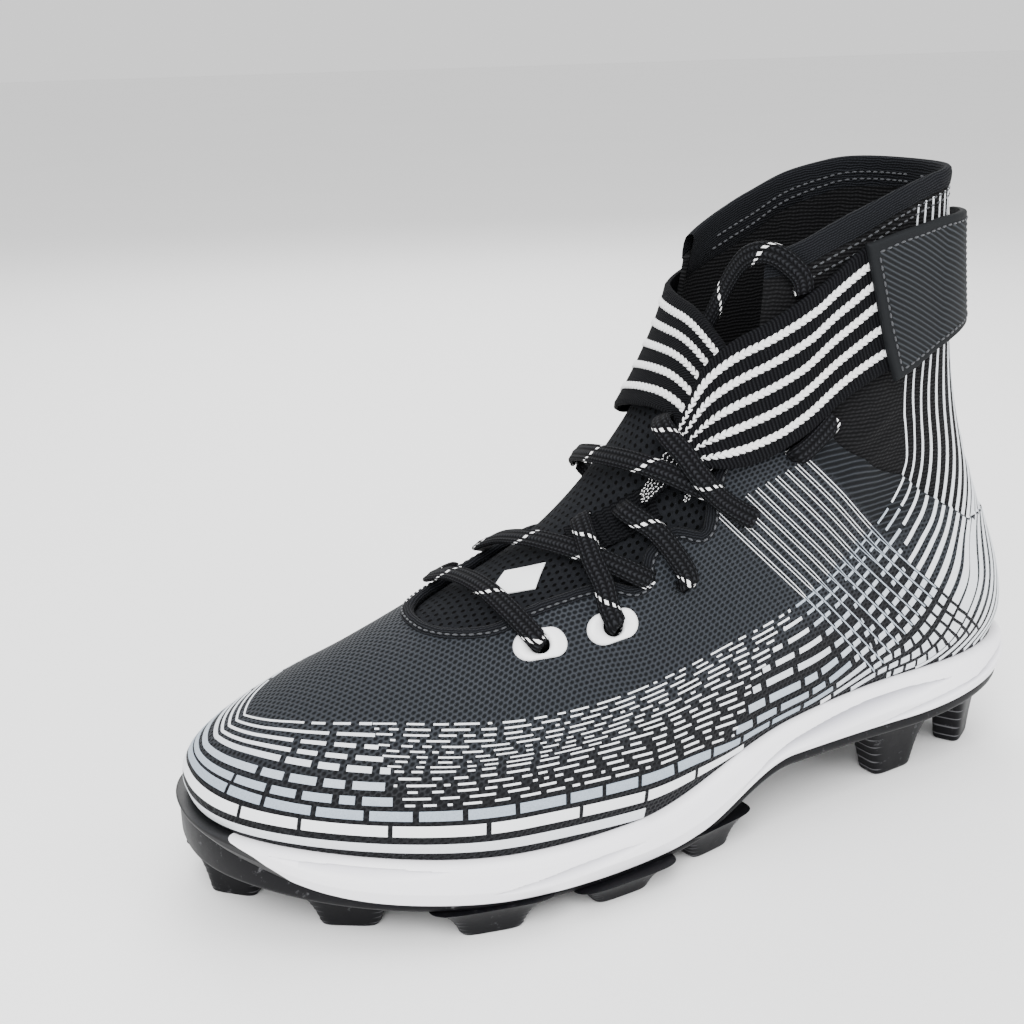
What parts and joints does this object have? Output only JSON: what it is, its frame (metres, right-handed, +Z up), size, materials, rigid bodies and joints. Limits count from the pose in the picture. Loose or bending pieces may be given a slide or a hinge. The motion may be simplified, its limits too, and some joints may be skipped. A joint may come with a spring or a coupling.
{
  "type": "american football cleat",
  "caption": "High-top american football cleat, left shoe: hollow upper, laced throat, crossed ankle straps, white midsole and studded outsole.",
  "frame": {"origin": "on the ground under the middle of the shoe's box", "axes": "+X from toe to heel along the shoe, +Y to the inner side of the foot, +Z up"},
  "size_m": [0.2772, 0.1012, 0.192],
  "materials": {
    "coated_textile": "satin charcoal with printed light bands",
    "knit": "matt black",
    "foam_white": "satin white",
    "rubber_black": "semi-gloss black",
    "webbing": "ribbed black with white cords",
    "patch": "ribbed charcoal",
    "lace": "black with white flecks",
    "trim_white": "smooth white"
  },
  "bodies": {
    "root": {"upper": "coated_textile", "tongue": "knit", "tongue_label": "trim_white", "lace_keeper": "webbing", "insole": "knit", "midsole": "foam_white", "outsole": "rubber_black", "strap_over": "webbing", "strap_under": "webbing", "patch_outer": "patch", "patch_inner": "patch", "eyelet_outer_1": "trim_white", "eyelet_outer_2": "trim_white", "eyelet_inner_1": "trim_white", "eyelet_inner_2": "trim_white", "lace_front": "lace", "lace_second": "lace", "lace_third": "lace", "lace_high": "lace", "lace_loop": "lace", "lace_end_outer": "lace"}
  },
  "joints": []
}
